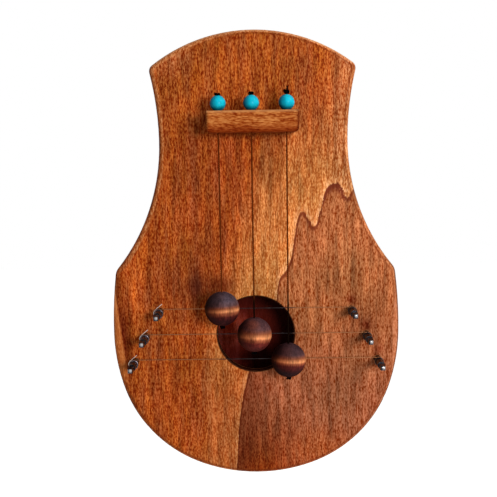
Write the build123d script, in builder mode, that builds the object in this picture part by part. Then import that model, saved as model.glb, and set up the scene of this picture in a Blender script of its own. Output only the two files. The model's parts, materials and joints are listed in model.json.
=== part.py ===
from build123d import *
import os
from math import ceil, cos, dist, pi, radians, sin, sqrt

# Door harp: a hollow wooden box that hangs on a door. Three balls swing on cords against three tuned wires.
# Sizes are in millimetres. +Z is up and the front faces -Y.
# The origin is the round entry of the hanger, in the plane of the back.

# Outline of the box, measured from the centre of the sound hole
CROWN_RISE = 200.4  # from the sound hole up to the top of the crown
HANGER_DROP = 42.4  # from the top of the crown down to the hanger's round entry
CROWN_HEIGHT = 23.3  # of the crown's arc above the top corners
WAIST_RISE = 131.0
WAIST_HALF = 62.0  # half the width at the waist
CORNER_FLARE = 5.6  # how far each top corner stands outside the waist
BELLY_HALF = 97.2  # half the width at the belly, level with the sound hole
SHOULDER_RISE = 44.0
SHOULDER_TUCK = 3.2  # how far each shoulder lies inside the belly
TAIL_DROP = 100.4  # from the sound hole down to the tail
HIP_INSET = 27.3  # in from the belly and up from the tail, where the outline runs at 45 degrees
CORNER_EASE = 0.6  # by how much the top corners are rounder than the front edge
SHOULDER_EASE = 5.0  # by how much the shoulders are rounder than the front edge

# Walls of the box
BACK_T = 4.0
RIB_DEPTH = 19.0
RIB_T = 6.0
SOUNDBOARD_T = 5.0
EDGE_ROUND = 4.0  # of the front edge
EDGE_LEFT = 1.0  # of square edge behind it, at least
BACK_ROUND = 1.5  # of the back edge
SOUND_HOLE_R = 25.9
SOUND_HOLE_ROUND = 0.8
HEAD_BELOW_RAIL = 14.0  # how far the head block runs down past the rail
TAIL_BLOCK_H = 20.0

# Rail, its dowels, and the cords that hang from it
RAIL_RISE = 134.6  # of the rail's underside above the sound hole
RAIL_L = 57.4
RAIL_H = 13.4
RAIL_LIP = 8.7  # of wood in front of the cords
RAIL_ROUND = 2.0  # of the rail's front edges
RAIL_UNDER_ROUND = 5.0  # of its lower front edge
DOWEL_R = 3.0
DOWEL_SPACING = 21.0
DOWEL_IN_RAIL = 10.0
DOWEL_IN_HEAD = 11.0
CORD_R = 0.6
CORD_X = {"left": -21.7, "middle": -0.9, "right": 21.2}

# Beads, balls and knots
BEAD_R = 5.0
BEAD_FLAT_R = 1.6
BALL_R = 11.25
BALL_FLAT_R = 2.0
KNOT_R = 1.9
KNOT_H = 2.6
KNOT_ROUND = 1.1
BEND_L = 0.9  # of the cord that flexes under the rail

# Pins: rows from the top down, each a tuning pin on the left and a hitch pin on the right
TOP_PIN_RISE = 16.4  # above the sound hole
PIN_PITCH = 17.4
PIN_INSET = {"top": 32.6, "middle": 22.6, "bottom": 14.6}  # in from the belly
PIN_R = 2.5
PIN_OUT = 22.0  # of the soundboard
PIN_IN = 20.0  # below the soundboard's front
PIN_HEAD_L = 7.0
PIN_HEAD_SIDE = 3.5
PIN_HEAD_TAPER = 2.0  # degrees
PIN_TIP_ROUND = 1.1
PIN_EYE_R = 0.6
PIN_BLOCK_MARGIN = 10.0  # of wood round the outermost pins

# Wires
WIRE_R = 0.25
STRING_OUT = 5.75  # of the soundboard
STRIKE_RISE = 2.5  # of a ball's centre above the wire that it strikes
TURN_GAP = 0.45  # between the turns on a pin
TUNING_TURNS = 2.625
HITCH_TURNS = 1.25
WIRE_TAIL = 2.0
HITCH_TAIL = 1.5

# Hanger
PLATE_T = 1.6
PLATE_W = 20.0
PLATE_L = 46.0
PLATE_CORNER_R = 4.0
ENTRY_R = 4.75
SLOT_W = 5.0
SLOT_L = 9.0
POCKET_MARGIN = 0.25  # of the round pocket beyond both ends of the keyhole
POCKET_DEPTH = 10.0
SCREW_R = 1.5
SCREW_HEAD_R = 3.0
SCREW_L = 14.0
SCREW_POINT = 3.0
SCREW_FROM_END = 5.5
SCREW_SLOT_W = 0.8
SCREW_SLOT_DEPTH = 0.9
SCREW_SLOT_TURN = 30.0  # degrees

# Clearances
PIN_FIT = 0.05
COIL_FIT = 0.06
DOWEL_FIT = 0.03
SCREW_FIT = 0.05
PLATE_FIT = 0.1
CORD_FIT = 0.15
HOLE_END_GAP = 0.5
STRIKE_GAP = 0.3  # between a resting ball and its wire
BEND_GAP = 0.15  # at each end of the flexing length of cord

# Places worked out from the sizes above. Rises are measured from the sound hole.
hole_z = HANGER_DROP - CROWN_RISE
box_depth = BACK_T + RIB_DEPTH + SOUNDBOARD_T
corner_rise = CROWN_RISE - CROWN_HEIGHT
corner_half = WAIST_HALF + CORNER_FLARE
shoulder_half = BELLY_HALF - SHOULDER_TUCK
edge_round = min(EDGE_ROUND, SOUNDBOARD_T - EDGE_LEFT)
corner_round = edge_round + CORNER_EASE
shoulder_round = edge_round + SHOULDER_EASE
head_low = RAIL_RISE - HEAD_BELOW_RAIL
tail_high = TAIL_BLOCK_H - TAIL_DROP
rail_top = RAIL_RISE + RAIL_H
cord_out = STRING_OUT + WIRE_R + STRIKE_GAP + sqrt(BALL_R**2 - STRIKE_RISE**2)
cord_y = -box_depth - cord_out
rail_depth = cord_out + RAIL_LIP
bend_top = RAIL_RISE - BEND_GAP
pivot_rise = bend_top - BEND_L - BEND_GAP - CORD_R
coil_r = PIN_R + COIL_FIT + WIRE_R
turn_pitch = 2 * WIRE_R + TURN_GAP
pin_half = {row: BELLY_HALF - inset for row, inset in PIN_INSET.items()}
pin_rise = {row: TOP_PIN_RISE - PIN_PITCH * place for place, row in enumerate(PIN_INSET)}
string_rise = {row: rise + coil_r for row, rise in pin_rise.items()}
ball_rise = {side: string_rise[row] + STRIKE_RISE for side, row in zip(CORD_X, PIN_INSET)}
plate_rise = SLOT_L / 2
pocket_r = SLOT_L / 2 + ENTRY_R + POCKET_MARGIN
screw_rises = [plate_rise + end * (PLATE_L / 2 - SCREW_FROM_END) for end in (1, -1)]
FAR = 2 * (CROWN_RISE + TAIL_DROP)  # reaches past the box from any point of it

# Sketch planes: x to the right, y up from the sound hole, offset from the back towards the front
box_plane = Plane(origin=(0, 0, hole_z), x_dir=(1, 0, 0), z_dir=(0, -1, 0))
rib_plane = box_plane.offset(BACK_T)
board_plane = rib_plane.offset(RIB_DEPTH)
front_plane = box_plane.offset(box_depth)
cord_plane = front_plane.offset(cord_out)

# Sketch plane of the hanger, seen from behind, with y up from the round entry
hanger_plane = Plane(origin=(0, 0, 0), x_dir=(-1, 0, 0), z_dir=(0, 1, 0))

os.makedirs("parts", exist_ok=True)


def save(piece, name):
    """Label a finished piece and write it as a part of its own."""
    piece.part.label = name
    export_step(piece.part, f"parts/{name}.step")
    print(f"{name}: {len(piece.part.solids())} solid, {piece.part.volume:.1f} mm3")


def arc_pair(start, start_way, end, end_way):
    """Two arcs, one running smoothly into the other, between two points with given directions."""
    span = end - start
    ways = start_way + end_way
    turn = 2 * (1 - start_way.dot(end_way))
    reach = span.dot(ways)
    arm = (sqrt(reach**2 + turn * span.dot(span)) - reach) / turn
    meeting = (start + start_way * arm + end - end_way * arm) * 0.5
    first = TangentArc(start, meeting, tangent=start_way)
    TangentArc(meeting, end, tangent=first % 1)


def sharp_face():
    """The whole outline of the box, filled, in the open sketch, with its corners still sharp."""
    right = Vector(1, 0)
    up = Vector(0, 1)
    slope = (right + up).normalized()
    tail = Vector(0, -TAIL_DROP)
    hip = Vector(BELLY_HALF - HIP_INSET, HIP_INSET - TAIL_DROP)
    belly = Vector(BELLY_HALF, 0)
    shoulder = Vector(shoulder_half, SHOULDER_RISE)
    waist = Vector(WAIST_HALF, WAIST_RISE)
    corner = Vector(corner_half, corner_rise)
    crown = Vector(0, CROWN_RISE)
    with BuildLine() as outline:
        arc_pair(tail, right, hip, slope)
        arc_pair(hip, slope, belly, up)
        TangentArc(belly, shoulder, tangent=up)
        TangentArc(waist, shoulder, tangent=up * -1)
        TangentArc(waist, corner, tangent=up)
        TangentArc(crown, corner, tangent=right)
        mirror(about=Plane.YZ)
    make_face(outline.edges())


def box_face():
    """The outline of the box, filled, in the open sketch, with its top corners and shoulders rounded."""
    sharp_face()
    for rise, radius in ((corner_rise, corner_round), (SHOULDER_RISE, shoulder_round)):
        sharp = vertices().filter_by_position(Axis.Y, rise - CORNER_EASE, rise + CORNER_EASE)
        fillet(sharp, radius)


def room_face(mode):
    """The room inside the ribs, added to the open sketch, taken from it or shared with it."""
    with BuildSketch() as room:
        sharp_face()
        offset(amount=-RIB_T)
    add(room.sketch, mode=mode)


def keep_band(low, high, side=0):
    """Keep what lies between two rises, on one side of the middle line or on both."""
    with Locations((side * FAR / 2, (low + high) / 2)):
        Rectangle(FAR, high - low, mode=Mode.INTERSECT)


def round_holes(plane, places, radius, depth):
    """Sink round holes into the open part, along the plane's normal."""
    with BuildSketch(plane) as mouths:
        with Locations(*places):
            Circle(radius)
    extrude(mouths.sketch, amount=depth, mode=Mode.SUBTRACT)


tuning_places = {row: (-pin_half[row], pin_rise[row]) for row in PIN_INSET}
hitch_places = {row: (pin_half[row], pin_rise[row]) for row in PIN_INSET}
dowel_places = [(end * DOWEL_SPACING / 2, (RAIL_RISE + rail_top) / 2) for end in (-1, 1)]
screw_places = [(0, rise) for rise in screw_rises]
pocket_places = [(0, plate_rise)]

# Front of the box
with BuildPart() as soundboard:
    with BuildSketch(board_plane):
        box_face()
    extrude(amount=SOUNDBOARD_T)
    fillet(soundboard.faces().sort_by(Axis.Y)[0].edges(), edge_round)
    round_holes(board_plane, [(0, 0)], SOUND_HOLE_R, SOUNDBOARD_T)
    hole_rim = soundboard.faces().sort_by(Axis.Y)[0].inner_wires()[0].edges()
    fillet(hole_rim, SOUND_HOLE_ROUND)
    pin_places = [*tuning_places.values(), *hitch_places.values()]
    round_holes(board_plane, pin_places, PIN_R + PIN_FIT, SOUNDBOARD_T)
    round_holes(board_plane, dowel_places, DOWEL_R + DOWEL_FIT, SOUNDBOARD_T)
save(soundboard, "soundboard")

# Solid wood at the top, behind the rail and the hanger
with BuildPart() as head_block:
    with BuildSketch(rib_plane):
        box_face()
        keep_band(head_low, CROWN_RISE)
    extrude(amount=RIB_DEPTH)
    round_holes(board_plane, dowel_places, DOWEL_R + DOWEL_FIT, -DOWEL_IN_HEAD - HOLE_END_GAP)
    block_back = hanger_plane.offset(-BACK_T)
    round_holes(block_back, pocket_places, pocket_r, BACK_T - POCKET_DEPTH)
    screw_end = SCREW_L + HOLE_END_GAP - BACK_T
    round_holes(block_back, screw_places, SCREW_R + SCREW_FIT, -screw_end)
save(head_block, "head_block")

# Solid wood at the lower end
with BuildPart() as tail_block:
    with BuildSketch(rib_plane):
        box_face()
        keep_band(-TAIL_DROP, tail_high)
    extrude(amount=RIB_DEPTH)
save(tail_block, "tail_block")

# Curved sides between the two blocks, and the hardwood inside them that holds the pins
block_high = pin_rise["top"] + PIN_BLOCK_MARGIN
block_low = pin_rise["bottom"] - PIN_BLOCK_MARGIN
for side, hand, places in ((-1, "left", tuning_places), (1, "right", hitch_places)):
    with BuildPart() as rib:
        with BuildSketch(rib_plane):
            box_face()
            room_face(Mode.SUBTRACT)
            keep_band(tail_high, head_low, side)
        extrude(amount=RIB_DEPTH)
    save(rib, f"{hand}_rib")

    with BuildPart() as pin_block:
        with BuildSketch(rib_plane):
            room_face(Mode.ADD)
            with BuildLine():
                Polyline(
                    (side * (pin_half["top"] - PIN_BLOCK_MARGIN), block_high),
                    (side * BELLY_HALF, block_high),
                    (side * BELLY_HALF, block_low),
                    (side * (pin_half["bottom"] - PIN_BLOCK_MARGIN), block_low),
                    close=True,
                )
            make_face(mode=Mode.INTERSECT)
        extrude(amount=RIB_DEPTH)
        hole_depth = PIN_IN - SOUNDBOARD_T + HOLE_END_GAP
        round_holes(board_plane, [*places.values()], PIN_R + PIN_FIT, -hole_depth)
    save(pin_block, f"{hand}_pin_block")

# Back of the box, with the hanger plate let in flush
with BuildPart() as back_panel:
    with BuildSketch(box_plane):
        box_face()
    extrude(amount=BACK_T)
    fillet(back_panel.faces().sort_by(Axis.Y)[-1].edges(), BACK_ROUND)
    with BuildSketch(hanger_plane):
        with Locations((0, plate_rise)):
            RectangleRounded(PLATE_W + 2 * PLATE_FIT, PLATE_L + 2 * PLATE_FIT, PLATE_CORNER_R)
    extrude(amount=-PLATE_T, mode=Mode.SUBTRACT)
    round_holes(hanger_plane, pocket_places, pocket_r, -BACK_T)
    round_holes(hanger_plane, screw_places, SCREW_R + SCREW_FIT, -BACK_T)
save(back_panel, "back_panel")

# Keyhole plate: a screw's head goes in at the round entry and its shank slides up the slot
with BuildPart() as hanger_plate:
    with BuildSketch(hanger_plane):
        with Locations((0, plate_rise)):
            RectangleRounded(PLATE_W, PLATE_L, PLATE_CORNER_R)
        Circle(ENTRY_R, mode=Mode.SUBTRACT)
        with Locations((0, SLOT_L / 2)):
            SlotCenterToCenter(SLOT_L, SLOT_W, rotation=90, mode=Mode.SUBTRACT)
    extrude(amount=-PLATE_T)
    with Locations(*[hanger_plane * Pos(x, y, 0) for x, y in screw_places]):
        CounterSinkHole(SCREW_R + SCREW_FIT, SCREW_HEAD_R + SCREW_FIT, depth=PLATE_T, counter_sink_angle=90)
save(hanger_plate, "hanger_plate")

# Countersunk screws with a straight slot
with BuildPart() as hanger_screws:
    with BuildSketch(Plane(origin=(0, 0, screw_rises[0]), x_dir=(1, 0, 0), z_dir=(0, 0, 1))):
        with BuildLine():
            Polyline(
                (0, 0),
                (SCREW_HEAD_R, 0),
                (SCREW_R, SCREW_R - SCREW_HEAD_R),
                (SCREW_R, SCREW_POINT - SCREW_L),
                (0, -SCREW_L),
                close=True,
            )
        make_face()
    revolve(axis=Axis((0, 0, screw_rises[0]), (0, 1, 0)))
    with BuildSketch(hanger_plane):
        with Locations(screw_places[0]):
            Rectangle(2 * SCREW_HEAD_R, SCREW_SLOT_W, rotation=SCREW_SLOT_TURN)
    extrude(amount=-SCREW_SLOT_DEPTH, mode=Mode.SUBTRACT)
    mirror(about=Plane.XY.offset(plate_rise))
save(hanger_screws, "hanger_screws")

# Rail that the cords hang from, and its dowels
with BuildPart() as clapper_rail:
    with BuildSketch(front_plane):
        with Locations((0, (RAIL_RISE + rail_top) / 2)):
            Rectangle(RAIL_L, RAIL_H)
    extrude(amount=rail_depth)
    fillet(clapper_rail.faces().sort_by(Axis.Y)[0].edges().sort_by(Axis.Z)[0], RAIL_UNDER_ROUND)
    fillet(clapper_rail.faces().sort_by(Axis.Y)[0].edges().sort_by(Axis.Z)[1:], RAIL_ROUND)
    cord_places = [(x, cord_y) for x in CORD_X.values()]
    round_holes(Plane.XY.offset(hole_z + RAIL_RISE), cord_places, CORD_R + CORD_FIT, RAIL_H)
    round_holes(front_plane, dowel_places, DOWEL_R + DOWEL_FIT, DOWEL_IN_RAIL + HOLE_END_GAP)
save(clapper_rail, "clapper_rail")

with BuildPart() as rail_dowels:
    with BuildSketch(board_plane.offset(-DOWEL_IN_HEAD)):
        with Locations(*dowel_places):
            Circle(DOWEL_R)
    extrude(amount=DOWEL_IN_HEAD + SOUNDBOARD_T + DOWEL_IN_RAIL)
save(rail_dowels, "rail_dowels")


def bored_ball(x, rise, radius, flat_r):
    """A ball on a cord, in the open part: bored through, with a small flat at each mouth of the bore."""
    bore_r = CORD_R + CORD_FIT
    flat_rise = sqrt(radius**2 - flat_r**2)
    with BuildSketch(cord_plane) as profile:
        with BuildLine():
            Polyline(
                (x + flat_r, rise - flat_rise),
                (x + bore_r, rise - flat_rise),
                (x + bore_r, rise + flat_rise),
                (x + flat_r, rise + flat_rise),
            )
            ThreePointArc(
                (x + flat_r, rise + flat_rise),
                (x + radius, rise),
                (x + flat_r, rise - flat_rise),
            )
        make_face()
    revolve(profile.sketch, axis=Axis((x, cord_y, 0), (0, 0, 1)))


def cord_run(x, low, high):
    """A straight run of cord in the open part."""
    with BuildSketch(Plane.XY.offset(hole_z + low)) as section:
        with Locations((x, cord_y)):
            Circle(CORD_R)
    extrude(section.sketch, amount=high - low)


def knot(x, low):
    """A knot in the cord, in the open part: a rounded knob that is wider than the bore it stops in."""
    with BuildSketch(cord_plane) as profile:
        with Locations((x + KNOT_R / 2, low + KNOT_H / 2)):
            Rectangle(KNOT_R, KNOT_H)
        fillet(vertices().group_by(Axis.X)[-1], KNOT_ROUND)
    revolve(profile.sketch, axis=Axis((x, cord_y, 0), (0, 0, 1)))


bead_flat_rise = sqrt(BEAD_R**2 - BEAD_FLAT_R**2)
ball_flat_rise = sqrt(BALL_R**2 - BALL_FLAT_R**2)
bead_rise = rail_top + bead_flat_rise
bead_top = bead_rise + bead_flat_rise

# Beads, cords and balls, from the left to the right
for side, x in CORD_X.items():
    with BuildPart() as bead:
        bored_ball(x, bead_rise, BEAD_R, BEAD_FLAT_R)
    save(bead, f"bead_{side}")

    with BuildPart() as cord_top:
        cord_run(x, RAIL_RISE, bead_top)
        knot(x, bead_top)
    save(cord_top, f"cord_top_{side}")

    with BuildPart() as cord_bend:
        cord_run(x, bend_top - BEND_L, bend_top)
    save(cord_bend, f"cord_bend_{side}")

    ball_foot = ball_rise[side] - ball_flat_rise
    with BuildPart() as cord:
        cord_run(x, ball_foot, pivot_rise)
        with Locations((x, cord_y, hole_z + pivot_rise)):
            Sphere(CORD_R)
        knot(x, ball_foot - KNOT_H)
    save(cord, f"cord_{side}")
    print(f"cord_{side}: {rail_top - ball_foot + 2 * bead_flat_rise:.1f} mm from knot to knot")

    with BuildPart() as ball:
        bored_ball(x, ball_rise[side], BALL_R, BALL_FLAT_R)
    save(ball, f"ball_{side}")


def pins(places):
    """Round pins with a tapered square head, an eye for the wire and a domed tip, in the open part."""
    shank_out = PIN_OUT - PIN_HEAD_L
    eye_out = STRING_OUT + turn_pitch * TUNING_TURNS + 2 * WIRE_R + PIN_EYE_R
    with BuildSketch(front_plane.offset(-PIN_IN)) as shank:
        with Locations(*places):
            Circle(PIN_R)
    extrude(shank.sketch, amount=PIN_IN + shank_out)
    with BuildSketch(front_plane.offset(shank_out)) as head:
        with Locations(*places):
            Rectangle(PIN_HEAD_SIDE, PIN_HEAD_SIDE)
    extrude(head.sketch, amount=PIN_HEAD_L, taper=PIN_HEAD_TAPER)
    fillet(edges().group_by(Axis.Y)[0], PIN_TIP_ROUND)
    for x, rise in places:
        with BuildSketch(Plane.YZ.offset(x)) as eye:
            with Locations((-box_depth - eye_out, hole_z + rise)):
                Circle(PIN_EYE_R)
        extrude(eye.sketch, amount=PIN_R, both=True, mode=Mode.SUBTRACT)


for row, place in tuning_places.items():
    with BuildPart() as tuning_pin:
        pins([place])
    save(tuning_pin, f"tuning_pin_{row}")

with BuildPart() as hitch_pins:
    pins(list(hitch_places.values()))
save(hitch_pins, "hitch_pins")


def coil_point(place, angle, out):
    """A point of a turn of wire round a pin, and the way the wire runs there, clockwise from the front."""
    x, rise = place
    at = Vector(x + coil_r * cos(angle), -box_depth - out, hole_z + rise + coil_r * sin(angle))
    return at, Vector(sin(angle), 0, -cos(angle))


def coil(place, first_angle, last_angle, first_out, last_out):
    """Turns of wire round a pin as pairs of arcs of a quarter turn at most, flat at both ends."""
    steps = ceil((first_angle - last_angle) / (pi / 2))
    climb = (first_out - last_out) / ((first_angle - last_angle) * coil_r)
    stops = []
    for step in range(steps + 1):
        share = step / steps
        angle = first_angle + (last_angle - first_angle) * share
        at, way = coil_point(place, angle, first_out + (last_out - first_out) * share)
        if 0 < step < steps:
            way = (way + Vector(0, climb, 0)).normalized()
        stops.append((at, way))
    for (start, start_way), (end, end_way) in zip(stops, stops[1:]):
        arc_pair(start, start_way, end, end_way)
    return stops[0], stops[-1]


def least_gap(line):
    """Least gap between stretches of a wire that lie more than half a turn apart along it."""
    count = ceil(line.length / WIRE_R)
    points = [tuple(line @ (place / count)) for place in range(count + 1)]
    apart = ceil(pi * coil_r / WIRE_R)
    pairs = ((i, j) for i in range(len(points)) for j in range(i + apart, len(points)))
    return min(dist(points[i], points[j]) for i, j in pairs) - 2 * WIRE_R


# Wires, each one unbroken length from its tail on the tuning pin to its end on the hitch pin
over_the_pin = radians(90)
for row in PIN_INSET:
    tuning_out = STRING_OUT + turn_pitch * TUNING_TURNS
    hitch_out = STRING_OUT + turn_pitch * HITCH_TURNS
    with BuildPart() as string:
        with BuildLine() as route:
            tuning_start = over_the_pin + 2 * pi * TUNING_TURNS
            hitch_end = over_the_pin - 2 * pi * HITCH_TURNS
            tail_at, tail_way = coil_point(tuning_places[row], tuning_start, tuning_out)
            Line(tail_at - tail_way * WIRE_TAIL, tail_at)
            _, (left_at, _) = coil(tuning_places[row], tuning_start, over_the_pin, tuning_out, STRING_OUT)
            right_at, _ = coil_point(hitch_places[row], over_the_pin, STRING_OUT)
            Line(left_at, right_at)
            _, (end_at, end_way) = coil(hitch_places[row], over_the_pin, hitch_end, STRING_OUT, hitch_out)
            Line(end_at, end_at + end_way * HITCH_TAIL)
        with BuildSketch(Plane(origin=route.line @ 0, z_dir=route.line % 0)):
            Circle(WIRE_R)
        sweep()
    save(string, f"string_{row}")
    wire = route.wires()[0]
    print(f"string_{row}: {wire.length:.1f} mm, so {pi * WIRE_R**2 * wire.length:.1f} mm3 of wire")
    print(f"string_{row}: least gap to itself {least_gap(wire):.2f} mm")
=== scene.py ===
# %% [markdown]
# # A door harp, dressed round its frame
# A door harp is a shallow wooden box that hangs on a door. When the door moves, wooden balls on cords
# swing against tuned wires. The solid pieces come from the frame and stay where they are. This lesson adds
# what the frame only hints at: laid cords, knots, wound wires, and a finish for every surface.

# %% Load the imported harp
import json
import math
import bpy
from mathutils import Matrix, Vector


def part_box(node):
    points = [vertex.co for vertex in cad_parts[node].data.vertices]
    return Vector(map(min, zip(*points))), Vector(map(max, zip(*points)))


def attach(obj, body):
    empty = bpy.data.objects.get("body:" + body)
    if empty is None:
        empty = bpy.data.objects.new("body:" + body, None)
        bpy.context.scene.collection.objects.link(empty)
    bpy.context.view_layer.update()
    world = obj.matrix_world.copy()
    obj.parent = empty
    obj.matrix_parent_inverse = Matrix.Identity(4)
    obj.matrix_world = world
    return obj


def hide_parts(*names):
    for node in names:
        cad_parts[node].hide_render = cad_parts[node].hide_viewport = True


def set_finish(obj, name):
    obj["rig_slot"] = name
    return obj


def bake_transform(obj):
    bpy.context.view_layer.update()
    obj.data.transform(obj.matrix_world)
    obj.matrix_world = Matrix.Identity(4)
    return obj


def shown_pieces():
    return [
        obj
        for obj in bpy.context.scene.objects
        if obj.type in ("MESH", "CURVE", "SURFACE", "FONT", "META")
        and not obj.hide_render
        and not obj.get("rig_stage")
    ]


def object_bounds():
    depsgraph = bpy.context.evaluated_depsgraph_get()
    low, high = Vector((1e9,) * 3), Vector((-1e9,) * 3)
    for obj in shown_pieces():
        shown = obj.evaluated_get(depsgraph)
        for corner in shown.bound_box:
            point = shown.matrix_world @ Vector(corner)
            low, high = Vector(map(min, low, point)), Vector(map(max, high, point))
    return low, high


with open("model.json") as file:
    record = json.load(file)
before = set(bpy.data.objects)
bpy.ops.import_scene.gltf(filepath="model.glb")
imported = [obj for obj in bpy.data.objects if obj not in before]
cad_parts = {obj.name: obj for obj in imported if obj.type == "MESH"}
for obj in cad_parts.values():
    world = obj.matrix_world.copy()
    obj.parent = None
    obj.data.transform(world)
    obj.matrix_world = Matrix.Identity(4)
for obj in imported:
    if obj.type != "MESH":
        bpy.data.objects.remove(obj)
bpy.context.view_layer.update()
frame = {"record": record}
bpy.ops.object.select_all(action="DESELECT")
MM = 0.001

# %% [markdown]
# ## The camera
# The picture was taken from close by, level with the rail and looking a little down. A camera that stands
# where that one stood gives the same overlaps, such as the balls in front of the sound hole, so it is set
# before anything is modelled. The lens is long enough to fill a square frame with the harp.

# %% Stand the camera where the picture was taken
CAMERA_PLACE = (0.0018103, -0.488, -0.0344337)
CAMERA_TURN = tuple(math.radians(angle) for angle in (81.96082, 0.89421, 0.61088))
LENS, SENSOR = 50.4555, 36.0  # millimetres
bpy.ops.object.camera_add(location=CAMERA_PLACE, rotation=CAMERA_TURN)
camera = bpy.context.object
camera.name = "picture_camera"
camera.data.sensor_width = SENSOR
camera.data.lens = LENS
camera.data.clip_start = 10 * MM
bpy.context.scene.camera = camera
print(f"camera {-CAMERA_PLACE[1]:.3f} m in front of the back, lens {LENS:.1f} mm")

# %% [markdown]
# ## Three cords
# Each cord is one length of waxed, three-strand cord: knotted above a bead, run down through the bead and
# the rail, and knotted again under its ball. A round tube would do from far away. A NURBS curve with a
# three-lobed section that turns as it runs shows the strands, and it takes only a few points, because the
# weight of the ball pulls the cord straight.

# %% Helpers for curves and meshes
def curve_line(name, points, turns_per_metre=0.0, closed=False, steps=12):
    """A NURBS line with these control points, whose section turns as it runs."""
    data = bpy.data.curves.new(name, "CURVE")
    data.dimensions = "3D"
    spline = data.splines.new("NURBS")
    spline.points.add(len(points) - 1)
    run = 0.0
    for at, point in enumerate(points):
        if at:
            run += (Vector(point) - Vector(points[at - 1])).length
        spline.points[at].co = (*point, 1.0)
        spline.points[at].tilt = math.tau * turns_per_metre * run
    spline.order_u = 3
    spline.use_endpoint_u = not closed
    spline.use_cyclic_u = closed
    spline.resolution_u = steps
    line = bpy.data.objects.new(name, data)
    bpy.context.collection.objects.link(line)
    return line


def points_along(line):
    """The points of a line that has no thickness yet."""
    trace = bpy.data.meshes.new_from_object(line)
    points = [tuple(vertex.co) for vertex in trace.vertices]
    bpy.data.meshes.remove(trace)
    return points


def make_mesh(line, smooth_angle=60.0):
    """Turn a thick curve into a closed mesh with its faces outwards."""
    bpy.ops.object.select_all(action="DESELECT")
    line.select_set(True)
    bpy.context.view_layer.objects.active = line
    bpy.ops.object.convert(target="MESH")
    bpy.ops.object.mode_set(mode="EDIT")
    bpy.ops.mesh.select_all(action="SELECT")
    bpy.ops.mesh.remove_doubles(threshold=0.001 * MM)
    bpy.ops.mesh.normals_make_consistent(inside=False)
    bpy.ops.object.mode_set(mode="OBJECT")
    bpy.ops.object.shade_smooth_by_angle(angle=math.radians(smooth_angle))
    return line


# %% The section of the cord: three strands laid together
CORD_R = 0.6 * MM
STRAND_OUT = 0.735 * MM
STRAND_IN = 0.43 * MM
section_points = []
for corner in range(6):
    reach = STRAND_IN if corner % 2 else STRAND_OUT
    angle = math.tau * corner / 6
    section_points.append((reach * math.cos(angle), reach * math.sin(angle), 0.0))
cord_section = curve_line("cord_section", section_points, closed=True, steps=3)
cord_section.hide_render = True
print(f"section of {len(section_points)} points for a cord {2 * CORD_R / MM:.1f} mm thick")

# %% The hanging cords, each pulled straight by its ball
LAY_TURNS = 260.0  # turns of the strands in a metre of cord
FREE_OF_EDGE = 12 * CORD_R  # where the cord is clear of an edge that it bends over
HANGING_STEPS, BEND_STEPS, TOP_STEPS = 260, 8, 70  # along each stretch of cord
SIDES = ("left", "middle", "right")


def laid_cord(name, points, steps):
    """A cord along these points, and the line that it follows."""
    line = curve_line(name, points, LAY_TURNS, steps=steps)
    path = points_along(line)
    line.data.bevel_mode = "OBJECT"
    line.data.bevel_object = cord_section
    line.data.use_fill_caps = True
    return make_mesh(line), path


rail_low, rail_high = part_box("clapper_rail")
cord_axis = {}
hanging, cord_paths, pivots, feet = {}, {}, {}, {}
for side in SIDES:
    low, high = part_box(f"cord_{side}")
    ball_low, ball_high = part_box(f"ball_{side}")
    x, y = (low.x + high.x) / 2, (low.y + high.y) / 2
    pivot = Vector((x, y, high.z - CORD_R))
    foot = Vector((x, y, ball_low.z))
    down = Vector((0, 0, -FREE_OF_EDGE))
    ball_head = Vector((x, y, ball_high.z))
    route = [pivot, pivot + down, ball_head - down, foot]
    hanging[side], cord_paths[side] = laid_cord(f"hanging_cord_{side}", route, HANGING_STEPS)
    cord_axis[side], pivots[side], feet[side] = (x, y), pivot, foot
    print(f"hanging cord, {side}: {(pivot - foot).length / MM:.1f} mm")

# %% The short bends under the rail, and the cords through the rail and the beads
TAIL_ABOVE = {"left": 1.6 * MM, "middle": 2.2 * MM, "right": 5.4 * MM}  # of cord above each bead
TAIL_LEAN = {"left": -0.2 * MM, "middle": 0.3 * MM, "right": 0.6 * MM}
bends, tops, bead_tops = {}, {}, {}
for side in SIDES:
    x, y = cord_axis[side]
    mouth = Vector((x, y, rail_low.z))
    under_rail = [mouth, (mouth + pivots[side]) / 2, pivots[side]]
    bends[side], _ = laid_cord(f"bent_cord_{side}", under_rail, BEND_STEPS)
    bead_top = Vector((x, y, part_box(f"bead_{side}")[1].z))
    end = bead_top + Vector((TAIL_LEAN[side], 0, TAIL_ABOVE[side]))
    through_rail = [mouth, (mouth + bead_top) / 2, bead_top, end]
    tops[side], _ = laid_cord(f"top_cord_{side}", through_rail, TOP_STEPS)
    bead_tops[side] = bead_top
print(f"{len(bends)} bends and {len(tops)} upper ends of cord")

# %% [markdown]
# ## Knots
# A knot keeps each bead and each ball on its cord. A ball of modelling clay would be a stand-in. A real
# overhand knot passes over and under itself three times, and the curve that does this is a trefoil, so a
# trefoil of the cord's own thickness is drawn round the cord and pulled tight.

# %% One knot, copied to six places
KNOT_POINTS = 30
KNOT_UNIT = 0.5 * MM
KNOT_RISE = 1.25  # how far the strand climbs over itself, in units
KNOT_STRAND_R = 0.55 * MM


def knot(name, centre, turn, wide, tall):
    """A trefoil of cord round the cord's line, turned and stretched so that no two are alike."""
    points = []
    for at in range(KNOT_POINTS):
        t = math.tau * at / KNOT_POINTS
        across = math.sin(t) + 2 * math.sin(2 * t)
        along = math.cos(t) - 2 * math.cos(2 * t)
        x = wide * (across * math.cos(turn) - along * math.sin(turn))
        y = wide * (across * math.sin(turn) + along * math.cos(turn))
        z = tall * -KNOT_RISE * math.sin(3 * t)
        points.append(centre + KNOT_UNIT * Vector((x, y, z)))
    line = curve_line(name, points, closed=True, steps=6)
    line.data.bevel_depth = KNOT_STRAND_R
    line.data.bevel_resolution = 3
    return make_mesh(line)


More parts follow.
